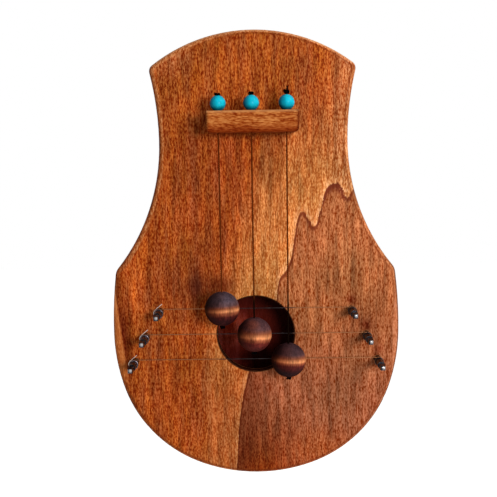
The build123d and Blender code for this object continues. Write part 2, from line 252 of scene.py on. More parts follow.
KNOT_HALF = 1.15 * MM
# Turn in radians, width and height of each knot.
TOP_KNOT = {"left": (0.3, 1.15, 0.7), "middle": (1.1, 0.95, 0.95), "right": (2.0, 1.05, 1.6)}
BALL_KNOT = {"left": (0.0, 0.95, 1.0), "middle": (0.7, 0.95, 1.0), "right": (1.4, 0.95, 1.0)}
top_knots, ball_knots = {}, {}
for side in SIDES:
    above = bead_tops[side] + Vector((0, 0, KNOT_HALF * TOP_KNOT[side][2]))
    below = feet[side] - Vector((0, 0, KNOT_HALF))
    top_knots[side] = knot(f"top_knot_{side}", above, *TOP_KNOT[side])
    ball_knots[side] = knot(f"ball_knot_{side}", below, *BALL_KNOT[side])
print(f"{len(top_knots) + len(ball_knots)} knots")

# %% Tie the upper cords and the knots to the harp and the balls, and leave the bends and hanging cords fixed in place
for side in SIDES:
    x, y = cord_axis[side]
    pivot = pivots[side]
    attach(tops[side], "root")
    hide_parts(f"cord_top_{side}")
    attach(top_knots[side], "root")
    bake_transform(bends[side])
    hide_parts(f"cord_bend_{side}")
    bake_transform(hanging[side])
    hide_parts(f"cord_{side}")
    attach(ball_knots[side], f"clapper_{side}")
    for piece in (tops[side], top_knots[side], bends[side], hanging[side], ball_knots[side]):
        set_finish(piece, "waxed_cord")

# %% [markdown]
# ## Three wires
# Each string is one length of music wire. It is wound on its tuning pin, runs across the board and ends in
# a turn and a quarter on its hitch pin. A circle for each turn would leave gaps, so the whole wire is one
# curve, with sixteen points to each turn. Its end through the eye of the tuning pin is a piece of its own,
# because it turns with the pin.

# %% Helpers for the windings
WIRE_R = 0.25 * MM
COIL_R = 2.81 * MM
TURN_PITCH = 0.95 * MM
TURN_POINTS = 16
STRING_OUT = 5.75 * MM  # from the board to the wire
front_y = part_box("soundboard")[0].y


def turn_point(axis, angle, out, radius=COIL_R):
    """A place round a pin, so far out from the board."""
    x, z = axis
    return Vector((x + radius * math.cos(angle), front_y - out, z + radius * math.sin(angle)))


def turns(axis, count, way):
    """Points of a winding that starts on top of a pin and climbs towards the pin's tip."""
    radius = COIL_R / math.cos(math.pi / TURN_POINTS)  # so that the curve itself lies at the coil's radius
    points = []
    for at in range(1, round(count * TURN_POINTS) + 1):
        turned = at / TURN_POINTS
        angle = math.pi / 2 + way * math.tau * turned
        points.append(turn_point(axis, angle, STRING_OUT + TURN_PITCH * turned, radius))
    return points


def wire(name, points, steps=4):
    line = curve_line(name, points, steps=steps)
    line.data.bevel_depth = WIRE_R
    line.data.bevel_resolution = 2
    line.data.use_fill_caps = True
    return make_mesh(line)


print(f"wire {2 * WIRE_R / MM:.1f} mm thick, wound {COIL_R / MM:.2f} mm from the middle of a pin")

# %% The wires, turn by turn
ROWS = ("top", "middle", "bottom")
TUNING_TURNS = 2.625
HITCH_TURNS = 1.25
HITCH_TAIL = 1.5 * MM
LEAD = Vector((4 * MM, 0, 0))  # of straight wire beside a winding
EYE_OUT = STRING_OUT + TURN_PITCH * TUNING_TURNS + 2 * WIRE_R + 0.6 * MM
EYE_R = 1.04 * COIL_R
TO_EYE = ((-4, 0.1), (-20, 0.6))  # from the eye to the winding: degrees, and millimetres below the eye
wires, pins = {}, {}
for row in ROWS:
    pin_low, pin_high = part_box(f"tuning_pin_{row}")
    pin = ((pin_low.x + pin_high.x) / 2, (pin_low.z + pin_high.z) / 2)
    hitch = (-pin[0], pin[1])
    points = []
    for angle, drop in TO_EYE:
        points.append(turn_point(pin, math.radians(angle), EYE_OUT - drop * MM, EYE_R))
    points += turns(pin, TUNING_TURNS, 1)[::-1]
    over_pin = turn_point(pin, math.pi / 2, STRING_OUT)
    over_hitch = turn_point(hitch, math.pi / 2, STRING_OUT)
    points += [over_pin, over_pin + LEAD, over_hitch - LEAD, over_hitch]
    points += turns(hitch, HITCH_TURNS, -1)
    last = points[-1]
    points += [last - Vector((0, 0, HITCH_TAIL / 2)), last - Vector((0, 0, HITCH_TAIL))]
    pins[row], wires[row] = pin, wire(f"wire_{row}", points)
    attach(wires[row], "root")
    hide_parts(f"string_{row}")
    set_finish(wires[row], "string_wire")
    print(f"wire {row}: {len(points)} points, {len(wires[row].data.polygons)} faces")

# %% The ends of the wires, through the eyes of the pins
END_ROUTE = (
    (2.7, 0, 0), (1, 0, 0), (-2, 0, 0), (-2.9, 0, 0.3), (-3, 0.2, 1.9), (-0.8, 0.3, 4.3), (2.8, 0, 7.2),
)  # millimetres from the eye: to the right, out from the board and up
for row, (x, z) in pins.items():
    points = []
    for right, out, up in END_ROUTE:
        points.append(Vector((x + right * MM, front_y - EYE_OUT - out * MM, z + up * MM)))
    wire_end = wire(f"wire_end_{row}", points, steps=8)
    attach(wire_end, f"tuning_{row}")
    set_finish(wire_end, "string_wire")
print(f"{len(pins)} wire ends turn with their pins")

# %% [markdown]
# ## Finishes shared by several pieces
# Wood, metal and cord all need colour that changes over the surface. Some effects come back in several
# finishes: the grain of wood, the wear of edges, grime and painted shade in corners, and the marks of tools
# on metal. Each is a node group with named inputs, built once, and every finish places it with its own sizes.

# %% Helpers for nodes
class Desk:
    """What the helpers work on: the node tree that was opened last, its shader and its coordinates."""

    tree = shader = place = None


def link(output, socket):
    Desk.tree.links.new(output, socket)


def put(kind, values=None, **settings):
    """Add a node, set it up, and fill each input with a value or a link."""
    made = Desk.tree.nodes.new(kind)
    for name, value in settings.items():
        setattr(made, name, value)
    for name, value in (values or {}).items():
        if isinstance(value, bpy.types.NodeSocket):
            link(value, made.inputs[name])
        else:
            made.inputs[name].default_value = value
    return made


def maths(operation, *values):
    """The result of one step of arithmetic on values or sockets."""
    return put("ShaderNodeMath", dict(enumerate(values)), operation=operation).outputs[0]


def scaled(value, by, plus):
    """A value times a number, plus another."""
    return maths("MULTIPLY_ADD", value, by, plus)


def times(first, *others):
    """The product of several masks."""
    for other in others:
        first = maths("MULTIPLY", first, other)
    return first


def vectors(operation, *values):
    """The result of one step of vector arithmetic: a number for a length, or else a vector."""
    made = put("ShaderNodeVectorMath", dict(enumerate(values)), operation=operation).outputs
    return made["Value" if operation in ("LENGTH", "DISTANCE", "DOT_PRODUCT") else "Vector"]


def axes(vector):
    """The X, Y and Z of a vector."""
    return put("ShaderNodeSeparateXYZ", {"Vector": vector}).outputs


def spread(value, low, high, to_low=0.0, to_high=1.0, **settings):
    """Stretch a range of values to another range, and clip what lies outside."""
    ends = {"Value": value, "From Min": low, "From Max": high, "To Min": to_low, "To Max": to_high}
    return put("ShaderNodeMapRange", ends, **settings).outputs["Result"]


# %% Helpers for colours
def mix(share, first, second, mode="MIX"):
    """Two colours, or colour sockets, mixed by a share."""
    mixed = put("ShaderNodeMix", data_type="RGBA", blend_type=mode)
    for at, value in ((0, share), (6, first), (7, second)):
        if isinstance(value, bpy.types.NodeSocket):
            link(value, mixed.inputs[at])
        else:
            mixed.inputs[at].default_value = value if at == 0 else (*value, 1.0)
    return mixed.outputs[2]


def tint(share, colour, by):
    """A colour multiplied by another one, as far as a share says."""
    return mix(share, colour, by, "MULTIPLY")


def shaded(colour, shade):
    """A colour made darker or paler by a number."""
    return put("ShaderNodeVectorMath", {0: colour, "Scale": shade}, operation="SCALE").outputs[0]


def ramp(share, stops):
    """The colour that a share picks between stops, each a place from 0 to 1 and a colour."""
    made = put("ShaderNodeValToRGB", {0: share})
    steps = made.color_ramp.elements
    while len(steps) < len(stops):
        steps.new(0.5)
    for step, (at, colour) in zip(steps, stops):
        step.position = at
        step.color = (*colour, 1.0)
    return made.outputs["Color"]


# %% A helper for node groups
def new_group(name, inputs, outputs):
    """An empty node group with these named numbers in and out. An input that starts as None is a vector."""
    Desk.tree = tree = bpy.data.node_groups.new(name, "ShaderNodeTree")
    for label, start in inputs.items():
        kind = "NodeSocketVector" if start is None else "NodeSocketFloat"
        socket = tree.interface.new_socket(label, in_out="INPUT", socket_type=kind)
        if start is not None:
            socket.default_value = start
    for label in outputs:
        tree.interface.new_socket(label, in_out="OUTPUT", socket_type="NodeSocketFloat")
    return tree, put("NodeGroupInput").outputs, put("NodeGroupOutput").inputs


# %% [markdown]
# ### Grain
# Cut lengthwise, wood shows short pores as fine dashes, long streaks where early and late wood alternate, and
# wide clouds where the stain soaked in more. The hue drifts from streak to streak. All of them are noise,
# squeezed across the grain and stretched along it. The group takes coordinates whose Z runs along the grain,
# and it makes the flecks waver, because ruled ones look printed.

# %% The grain group
grain, given, result = new_group(
    "wood_grain",
    {
        "Place": None,
        "Waver": 1.5 * MM,
        "Fleck Width": 0.8 * MM,
        "Fleck Length": 4.2 * MM,
        "Streak Width": 4 * MM,
        "Streak Length": 35 * MM,
        "Cloud Size": 35 * MM,
    },
    ("Fleck", "Streak", "Cloud", "Pore", "Hue"),
)


def noise(place, width, length, detail, seed):
    """Noise whose blots are as wide and as long as asked."""
    sizes = put("ShaderNodeCombineXYZ", {"X": width, "Y": width, "Z": length}).outputs[0]
    shrunk = vectors("DIVIDE", place, sizes)
    values = {"Vector": shrunk, "W": seed, "Scale": 1.0, "Detail": detail, "Roughness": 0.55}
    return put("ShaderNodeTexNoise", values, noise_dimensions="4D").outputs["Fac"]


WAVER_WIDE, WAVER_LONG = 6 * MM, 12 * MM
place = given["Place"]
waver = noise(place, WAVER_WIDE, WAVER_LONG, 2.0, 13.0)
sideways = times(waver, given["Waver"])
aside = put("ShaderNodeCombineXYZ", {"X": sideways, "Y": sideways}).outputs[0]
wavering = vectors("ADD", place, aside)
short = times(given["Fleck Length"], 0.5)
long = times(given["Fleck Length"], 1.9)
specks = noise(wavering, given["Fleck Width"], short, 1.5, 1.0)
dashes = noise(wavering, given["Fleck Width"], long, 1.5, 12.0)
fleck = scaled(specks, 0.6, times(dashes, 0.4))
streak = noise(place, given["Streak Width"], given["Streak Length"], 3.0, 2.0)
cloud = noise(place, given["Cloud Size"], given["Cloud Size"], 2.0, 3.0)
narrow = times(given["Fleck Width"], 0.55)
pore = noise(place, narrow, given["Fleck Length"], 1.0, 4.0)
wide = times(given["Streak Width"], 1.5)
hue = noise(place, wide, given["Streak Length"], 2.0, 14.0)
for label, value, low, high in (
    ("Fleck", fleck, 0.36, 0.64),
    ("Streak", streak, 0.3, 0.7),
    ("Cloud", cloud, 0.32, 0.68),
    ("Pore", pore, 0.56, 0.72),
    ("Hue", hue, 0.3, 0.7),
):
    link(spread(value, low, high), result[label])
print(f"group {grain.name} with {len(grain.nodes)} nodes")

# %% [markdown]
# ### Edges and corners
# Hands rub the stain off sharp edges. Inner corners get grime, and painted shade where less light would
# reach. A bevelled normal differs from the true one only near an edge, and ambient occlusion darkens only
# inner corners, so both can be masks.

# %% The edges group
edges, given, result = new_group("edge_wear", {"Width": MM, "Reach": 6 * MM}, ("Wear", "Grime"))
rounded = put("ShaderNodeBevel", {"Radius": given["Width"]}, samples=6).outputs["Normal"]
plain = put("ShaderNodeNewGeometry").outputs["Normal"]
agree = vectors("DOT_PRODUCT", rounded, plain)
link(spread(agree, 0.995, 0.80), result["Wear"])
# ambient occlusion marks inner corners, for grime and for painted shade
open_air = put("ShaderNodeAmbientOcclusion", {"Distance": given["Reach"]}, samples=8).outputs["AO"]
link(spread(open_air, 0.75, 0.25), result["Grime"])
print(f"group {edges.name} with {len(edges.nodes)} nodes")

# %% [markdown]
# ### Marks on metal
# Drawn wire, turned pins and rolled plate all carry fine lines along the way they were worked, and patches
# where fingers dulled them. One stretched noise gives the lines and one wide noise the patches.

# %% The marks group
marks, given, result = new_group(
    "tool_marks", {"Place": None, "Line Width": 0.1 * MM, "Line Length": 4 * MM}, ("Lines", "Patches")
)
place, width, length = given["Place"], given["Line Width"], given["Line Length"]
lines = noise(place, width, length, 2.0, 5.0)
patches = noise(place, length, length, 2.0, 6.0)
link(spread(lines, 0.3, 0.7), result["Lines"])
link(spread(patches, 0.35, 0.65), result["Patches"])
print(f"group {marks.name} with {len(marks.nodes)} nodes")

# %% A finish to fill in
finishes = {}


def new_finish(name):
    """Open an empty material on the desk, and give the piece's own coordinates."""
    material = bpy.data.materials.new(name)
    material.use_nodes = True
    finishes[name] = material
    Desk.tree = material.node_tree
    Desk.shader = Desk.tree.nodes["Principled BSDF"].inputs
    Desk.place = put("ShaderNodeTexCoord").outputs["Object"]
    return Desk.place


def use_group(group, values):
    """Place a node group in a tree, fill its inputs, and give its outputs."""
    return put("ShaderNodeGroup", values, node_tree=group).outputs


def paint(colour):
    link(colour, Desk.shader["Base Color"])


def dress(colour, rough, gloss):
    """Give the shader its colour, its roughness and a constant gloss."""
    paint(colour)
    link(rough, Desk.shader["Roughness"])
    Desk.shader["Specular IOR Level"].default_value = gloss


def raise_by(height, depth):
    """Bump from a height between 0 and 1, as deep as given."""
    bump = put("ShaderNodeBump", {"Height": height, "Distance": depth})
    link(bump.outputs["Normal"], Desk.shader["Normal"])


# %% [markdown]
# ## The stained board
# The front is one board, stained reddish brown. It has a figure: a paler outer wood on the left and a browner
# heartwood on the right, with a wandering border that climbs from the tail to the right edge in two peaks. A
# painted mask would be an image, so the border is a curve node instead: for each place across the board it
# says how high the heartwood reaches. Moving the curve gives the pale rim outside it and the dark line
# inside it.

# %% The border of the heartwood
HOLE_Z = -158 * MM  # the middle of the sound hole
FIGURE_LEFT, FIGURE_RIGHT = -16 * MM, 66 * MM
FIGURE_LOW, FIGURE_HIGH = -110 * MM, 110 * MM
BORDER = (
    (-16, -110), (-14.5, -95.3), (-11.9, -61), (-5.1, -26.7), (5.0, 1.0), (14.3, 23.2), (15.1, 31.4),
    (16.6, 38), (20.3, 42.4), (22.9, 47.5), (25.1, 55.6), (27, 67.2), (28.9, 78), (30.7, 82), (32.9, 82.3),
    (35.7, 77.9), (40, 72.8), (43.6, 82.8), (47.1, 95.7), (49.3, 99.2), (54.3, 101.3), (56.4, 99.8),
    (60, 93.4), (61.8, 91.2), (64.3, 95.4), (66, 97),
)  # millimetres across and up from the sound hole
FRAY = 1.1 * MM  # how far the border strays, less below its second peak and more on it
CALM, WILD = 0.8, 2.2
heart, given, result = new_group(
    "heartwood", {"Place": None, "Across": 0.0, "Up": 0.0, "Soft": 0.6 * MM}, ("Inside",)
)
apart = axes(given["Place"])
rough_edge = noise(given["Place"], 1.2 * MM, 3 * MM, 2.0, 7.0)
jitter = spread(rough_edge, 0.0, 1.0, -FRAY, FRAY)
jitter = times(jitter, spread(apart["X"], 41 * MM, 47 * MM, CALM, WILD))
across = maths("ADD", maths("ADD", apart["X"], given["Across"]), jitter)
border = put("ShaderNodeFloatCurve", {"Value": spread(across, FIGURE_LEFT, FIGURE_RIGHT)})
curve = border.mapping.curves[0]
wanted = []
for x, z in BORDER:
    share_across = (x * MM - FIGURE_LEFT) / (FIGURE_RIGHT - FIGURE_LEFT)
    wanted.append((share_across, (z * MM - FIGURE_LOW) / (FIGURE_HIGH - FIGURE_LOW)))
curve.points[0].location, curve.points[-1].location = wanted[0], wanted[-1]
for at in wanted[1:-1]:
    curve.points.new(*at)
border.mapping.update()
reach = spread(border.outputs[0], 0.0, 1.0, HOLE_Z + FIGURE_LOW, HOLE_Z + FIGURE_HIGH)
height = maths("ADD", maths("ADD", apart["Z"], given["Up"]), jitter)
depth = maths("DIVIDE", maths("SUBTRACT", reach, height), given["Soft"])
link(spread(depth, -1.0, 1.0), result["Inside"])
print(f"border of {len(wanted)} points")

# %% [markdown]
# ### Stain
# A thick stain takes out blue before it takes out red. A plain mix of two browns would look flat, so each
# stain is a ramp from a dark fleck to a pale one, and red, green and blue swing by amounts of their own.

# %% Colours of the stained woods
def tone(grained, fleck, streak, cloud):
    """One share from 0 to 1 out of the three scales of grain, round a middle of a half."""
    total = 0.5
    for label, weight in (("Fleck", fleck), ("Streak", streak), ("Cloud", cloud)):
        part = scaled(grained[label], weight, -weight / 2)
        total = maths("ADD", part, total)
    return spread(total, 0.0, 1.0)


SAP_LIFT = (0.66, 1.65, 3.4)  # how much further a pale fleck goes in red, green and blue
HEART_LIFT = (0.54, 0.95, 1.45)
SOAK = (0.72, 1.15, 1.42)  # how much further a dark fleck goes
DARKEST = 0.02  # share of a colour that the darkest fleck keeps


def stain(share, middle, contrast=0.68, lift=SAP_LIFT):
    """A stain's colour that swings round its middle, further in blue than in red."""
    dark = tuple(part * max(1 - contrast * swing, DARKEST) for part, swing in zip(middle, SOAK))
    light = tuple(part * (1 + contrast * swing) for part, swing in zip(middle, lift))
    return ramp(share, ((0.0, dark), (0.5, middle), (1.0, light)))


def stain_over(mask, colour, share, *wood, **more):
    """A colour with another stain laid over it where a mask says so."""
    return mix(mask, colour, stain(share, *wood, **more))


print(f"a pale fleck gains {SAP_LIFT} in red, green and blue")

# %% What all stained pieces share
WOOD_EDGE = {"Width": 1.4 * MM, "Reach": 10 * MM}
WOOD_ROUGH = 0.5
WOOD_GLOSS = 0.02  # low, because reflections of the white room would veil the stain
WORN_WOOD, GRIME_AND_SHADE_WOOD, DARK_PORE = (0.56, 0.22, 0.08), (0.05, 0.010, 0.003), (0.13, 0.020, 0.004)


def finish_wood(colour, grained, edge):
    """Wear, grime with painted shade in corners, gloss and relief."""
    colour = mix(times(edge["Wear"], 0.45), colour, WORN_WOOD)
    # grime and painted shade in the wood's inner corners
    colour = mix(times(edge["Grime"], 0.7), colour, GRIME_AND_SHADE_WOOD)
    colour = mix(times(grained["Pore"], 0.3), colour, DARK_PORE)
    rough = spread(grained["Fleck"], 0.0, 1.0, WOOD_ROUGH + 0.08, WOOD_ROUGH - 0.06)
    dress(colour, rough, WOOD_GLOSS)
    hollow = scaled(grained["Pore"], -0.8, grained["Fleck"])
    raise_by(hollow, 0.07 * MM)


def spot(centre, size):
    """A soft oval, 1 at its centre and 0 at its rim, in millimetres from the sound hole."""
    x, z = (part * MM for part in centre)
    wide, tall = (part * MM for part in size)
    moved = vectors("SUBTRACT", Desk.place, (x, 0, HOLE_Z + z))
    flat = vectors("MULTIPLY", moved, (1 / wide, 0, 1 / tall))
    return spread(vectors("LENGTH", flat), 1.0, 0.0, interpolation_type="SMOOTHSTEP")


def spotted(colour, share, spots, strength, contrast=0.68):
    """A colour with spots of other stains, each a centre, a size and a colour."""
    for centre, size, wood in spots:
        mask = times(spot(centre, size), strength)
        colour = stain_over(mask, colour, share, wood, contrast)
    return colour


def climb(height, low, high, *ends):
    """A mask that grows from one height to another, in millimetres from the sound hole."""
    return spread(height, HOLE_Z + low * MM, HOLE_Z + high * MM, *ends)


print(f"stained pieces wear over {WOOD_EDGE['Width'] / MM:.1f} mm of their edges")

# %% The board's paler wood
SAP, HIGH_SAP = (0.335, 0.0635, 0.0090), (0.370, 0.075, 0.0095)  # below and above the rail
GOLDEN = (0.55, 0.186, 0.041)  # towards the heartwood
COOLER, WARMER = (0.84, 0.87, 1.22), (1.10, 1.10, 0.78)  # where the hue drifts
BROWNER = (
    ((66, 128), (26, 110), (0.43, 0.148, 0.042)),
    ((-54, 188), (22, 24), (0.49, 0.140, 0.036)),
    ((64, 186), (12, 16), (0.45, 0.135, 0.048)),
)  # spots: centre and size in millimetres from the sound hole, and colour
place = new_finish("stained_board")
grained = use_group(grain, {"Place": place})
edge = use_group(edges, WOOD_EDGE)
sap = tone(grained, 1.55, 0.2, 0.0)
apart = axes(place)
height = apart["Z"]


def inside(left, down, soft):
    """The board's heartwood with its border moved left and down, and softened, in millimetres."""
    moved = {"Across": left * MM, "Up": down * MM, "Soft": soft * MM}
    return use_group(heart, {"Place": place, **moved})["Inside"]


colour = stain(sap, SAP)
colour = stain_over(climb(height, 125, 165), colour, sap, HIGH_SAP)
colour = tint(spread(grained["Hue"], 0.5, 0.9), colour, COOLER)
colour = tint(spread(grained["Hue"], 0.5, 0.1), colour, WARMER)
near_heart = times(inside(24, -26, 34), climb(height, -45, 10, 0.15, 1.0))
colour = stain_over(near_heart, colour, sap, GOLDEN, 0.5)
colour = spotted(colour, sap, BROWNER, 0.85)
print(f"paler wood with {len(BROWNER)} browner spots")

# %% Strips, a smudge and a painted shadow on it
DARK_STRIP, GOLD_STRIP = (0.12, 0.013, 0.002), (0.43, 0.117, 0.026)
EDGE_LEAN = 0.107  # how far the left edge leans outwards for each millimetre down
# a dark smudge, and a painted shadow of the first ball and its cord above it
SMUDGE_AND_BALL_SHADOW = (
    ((-39, 33), (13, 20), (0.095, 0.017, 0.006)),
    ((-22, 34), (14, 12), (0.13, 0.018, 0.003)),
)  # beside the first ball
leaning = scaled(maths("ADD", height, -HOLE_Z), EDGE_LEAN, apart["X"])
at_left = spread(leaning, -83.5 * MM, -90 * MM)
dark_strip = times(at_left, spot((-90, 2), (14, 50)))
colour = stain_over(dark_strip, colour, sap, DARK_STRIP)
gold_right = spread(apart["X"], -35 * MM, -33 * MM)
gold_strip = times(gold_right, climb(height, -25, -55, 0.0, 0.6))
colour = stain_over(gold_strip, colour, sap, GOLD_STRIP, 0.5)
colour = spotted(colour, sap, SMUDGE_AND_BALL_SHADOW, 0.95, 0.5)
print(f"two strips and {len(SMUDGE_AND_BALL_SHADOW)} smudges")

# %% The heartwood, its pale rim and its dark line
RIM, SOAKED_SIDE = (0.70, 0.300, 0.100), (0.66, 0.52, 0.45)
HEART, LOW_HEART = (0.385, 0.123, 0.039), (0.315, 0.097, 0.038)
TAIL_SPOTS = (
    ((4, -100), (58, 68), (0.19, 0.029, 0.003)),
    ((44, -84), (36, 24), (0.36, 0.080, 0.018)),
)
DARK_LINE, DARK_BAND = (0.16, 0.028, 0.008), (0.15, 0.026, 0.010)
rim = maths("MAXIMUM", inside(1.6, -2.4, 2.8), inside(-1.6, -2.4, 2.8))
rim = times(rim, climb(height, -20, 30, 0.25, 0.75))
colour = stain_over(rim, colour, sap, RIM, 0.4)
share = tone(grained, 1.45, 0.15, 0.0)
heart_tone = stain(share, HEART, lift=HEART_LIFT)
low_down = climb(height, 15, -35)
heart_tone = stain_over(low_down, heart_tone, share, LOW_HEART, lift=HEART_LIFT)
heart_tone = spotted(heart_tone, share, TAIL_SPOTS, 1.0)
in_heart = inside(0.0, 0.0, 0.6)
colour = mix(in_heart, colour, heart_tone)
within = maths("MINIMUM", inside(-0.7, 2.4, 1.2), inside(0.7, 2.4, 1.2))
line = times(maths("SUBTRACT", in_heart, within), 0.9)
colour = mix(spread(line, 0.0, 1.0), colour, DARK_LINE)
soaked_side = maths("SUBTRACT", in_heart, inside(-13, 0.0, 30))
soaked_side = times(soaked_side, climb(height, -12, -32, 0.0, 0.85))
colour = tint(spread(soaked_side, 0.0, 1.0), colour, SOAKED_SIDE)
second_peak = spread(spot((52, 97), (17, 14)), 0.0, 0.4, 0.0, 0.8)
band = times(maths("SUBTRACT", in_heart, inside(0.0, 5.2, 1.8)), second_peak)
colour = mix(spread(band, 0.0, 1.0), colour, DARK_BAND)
print(f"heartwood with a rim, a line and {len(TAIL_SPOTS)} spots at the tail")

# %% Dark patches above the hitch pins, streaks, and patches with a painted shadow
PATCH_ABOVE = 6.8  # millimetres from a hitch pin up to the middle of its dark patch
PATCH_SIZE = (6.0, 6.5)
HITCH_PATCH, REDDER = (0.21, 0.032, 0.007), (0.94, 0.70, 0.72)
# among these patches, the one at (-41, 143) is a painted shadow beside the rail's left end
FIGURE_AND_SHADOW = (
    ((72, 9), (20, 24), 0.62), ((86, 12), (14, 55), 0.82), ((-78.5, 32), (8, 50), 1.6),
    ((-57, 72), (8, 40), 1.22), ((-9, 82), (8, 40), 1.33), ((30, 118), (20, 20), 1.16),
    ((18, 60), (7, 45), 1.10), ((-43, 36), (9, 20), 0.85), ((-16, -32), (8, 18), 0.85),
    ((9, -39), (14, 18), 0.86), ((59, 56), (9, 38), 1.2), ((82, -32), (9, 16), 1.2),
    ((-79, -41), (9, 40), 1.15), ((18, -99), (46, 13), 1.2), ((-46, -49), (32, 24), 0.92),
    ((-41, 143), (11, 13), 0.86),
)  # darker and paler patches: centre and size in millimetres from the sound hole, and their strength
for x, z in pins.values():
    above_hitch = (-x / MM, (z - HOLE_Z) / MM + PATCH_ABOVE)
    colour = spotted(colour, sap, [(above_hitch, PATCH_SIZE, HITCH_PATCH)], 0.9)
colour = tint(times(grained["Cloud"], 0.5), colour, REDDER)
shade = scaled(grained["Streak"], 0.84, 0.59)
shade = times(shade, scaled(grained["Cloud"], 0.36, 0.82))
for centre, size, strength in FIGURE_AND_SHADOW:
    patch = scaled(spot(centre, size), strength - 1, 1.0)
    shade = times(shade, patch)
colour = shaded(colour, shade)
print(f"figure of {len(FIGURE_AND_SHADOW)} patches")

# %% [markdown]
# ### The rounded edge
# The board's front edge is rounded over. A dark line runs where the rounding starts, and a highlight is
# painted where the edge turns up, as light from above would catch it. The normal tells how far the surface
# has turned from the flat front, so it places both, and the height keeps them to the neck or to the body.

# %% Creases and rubbed places on the board's edge
CREASE, GILDED, TOP_EDGE_HIGHLIGHT = (0.16, 0.026, 0.004), (0.52, 0.155, 0.040), (0.68, 0.280, 0.105)
facing = axes(put("ShaderNodeNewGeometry").outputs["Normal"])
flat = maths("ABSOLUTE", facing["Y"])
neck = climb(height, 40, 60)
left_neck = times(neck, spread(facing["X"], -0.03, -0.12))
crease = times(spread(flat, 0.995, 0.965), spread(flat, 0.86, 0.92), scaled(left_neck, -0.6, 0.6))
colour = mix(crease, colour, CREASE)
gilded = times(spread(flat, 0.9995, 0.985), spread(flat, 0.78, 0.90), left_neck)
colour = stain_over(gilded, colour, sap, GILDED, 0.5)
# painted highlight along the top of the rounded edge, where it faces up
top_highlight = times(
    spread(flat, 0.89, 0.78),
    spread(facing["Z"], 0.45, 0.75, 0.15, 0.95),
    scaled(grained["Cloud"], 0.6, 0.7),
)
colour = stain_over(top_highlight, colour, sap, TOP_EDGE_HIGHLIGHT, 0.35)
print(f"{len(Desk.tree.nodes)} nodes so far")

# %% The board's left and right rims, and the sound hole
RIGHT_RIM_HIGHLIGHT, LEFT_RIM, LIT_LEFT_RIM = (0.66, 0.225, 0.095), (0.53, 0.142, 0.030), (0.92, 0.30, 0.09)
LEFT_SHADE, RIGHT_SHADE = (0.66, 0.55, 0.50), (0.40, 0.35, 0.33)
HOLE_R, HOLE_WALL = 25.9 * MM, (0.014, 0.002, 0.001)
# painted highlight along the right rim, which faces the lamps
right_highlight = spread(spot((99, -8), (9, 75)), 0.10, 0.28, 0.0, 0.6)
colour = stain_over(right_highlight, colour, sap, RIGHT_RIM_HIGHLIGHT, 0.3)
turned_left = spread(facing["X"], -0.30, -0.80)
turned_left = times(turned_left, scaled(neck, -0.6, 1.0))
colour = tint(turned_left, colour, LEFT_SHADE)
left_rim = spread(spot((-92, 5), (20, 48)), 0.0, 0.3, 0.0, 0.9)
left_rim = times(left_rim, spread(leaning, -90.9 * MM, -91.7 * MM))
# the left rim's pale strip gets a painted highlight where the rounding faces left, high on the body
lit_high = times(spread(facing["X"], -0.15, -0.6), climb(height, 8, 22))
pale_lit_rim = mix(lit_high, stain(sap, LEFT_RIM, 0.3), LIT_LEFT_RIM)
colour = mix(left_rim, colour, pale_lit_rim)
body = maths("SUBTRACT", 1.0, neck)
turned_right = times(spread(facing["X"], 0.52, 0.76), body)
colour = tint(turned_right, colour, RIGHT_SHADE)
from_hole = vectors("SUBTRACT", place, (0, 0, HOLE_Z))
from_hole = vectors("LENGTH", vectors("MULTIPLY", from_hole, (1, 0, 1)))
in_hole = spread(from_hole, HOLE_R + 1.1 * MM, HOLE_R + 0.6 * MM)
colour = mix(in_hole, colour, HOLE_WALL)
finish_wood(colour, grained, edge)
print(f"board finished with {len(Desk.tree.nodes)} nodes")

# %% [markdown]
# ## The other woods
# The sides, the blocks and the back took the same stain, without the figure. Through the sound hole the
# back's inner face shows dark red, with a painted pool of light on its left and painted shade above, below
# and on its right. The rail's grain runs along it, so the grain group gets turned coordinates. The wood
# inside the box is bare.

# %% The sides and the blocks, and the back with its dark inner face
SIDE_STAIN, INNER_SHADE = (0.30, 0.060, 0.012), (0.38, 0.36, 0.42)
INNER_STAIN, INNER_LIT = (0.148, 0.0120, 0.0054), (0.66, 0.085, 0.036)
INNER_DARK = (0.034, 0.0026, 0.0012)
for name in ("stained_sides", "stained_back"):
    place = new_finish(name)
    grained = use_group(grain, {"Place": place})
    edge = use_group(edges, WOOD_EDGE)
    colour = stain(tone(grained, 0.85, 0.5, 0.4), SIDE_STAIN)
    if name == "stained_back":
        apart = axes(place)
        bare = tone(grained, 0.7, 1.2, 0.4)
        dark_red = stain(bare, INNER_STAIN, 0.6)
        # painted pool of light on the left of the inner face, brighter than its stain
        lit = spot((-21, -2), (21, 17))
        dark_red = stain_over(lit, dark_red, bare, INNER_LIT, 0.6)
        # painted shade towards the top and the bottom of the inner face
        for near, far in ((-10, -22), (4, 16)):
            dark_red = tint(climb(apart["Z"], near, far), dark_red, INNER_SHADE)
        # painted shadow over the right of the inner face
        to_right = spread(apart["X"], -20 * MM, 16 * MM)
        dark_red = mix(to_right, dark_red, INNER_DARK)
        inner_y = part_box("back_panel")[0].y
        in_box = spread(apart["Y"], inner_y + 1.2 * MM, inner_y + 0.4 * MM)
        colour = mix(in_box, colour, dark_red)
    finish_wood(colour, grained, edge)
    print(f"{name} with {len(Desk.tree.nodes)} nodes")

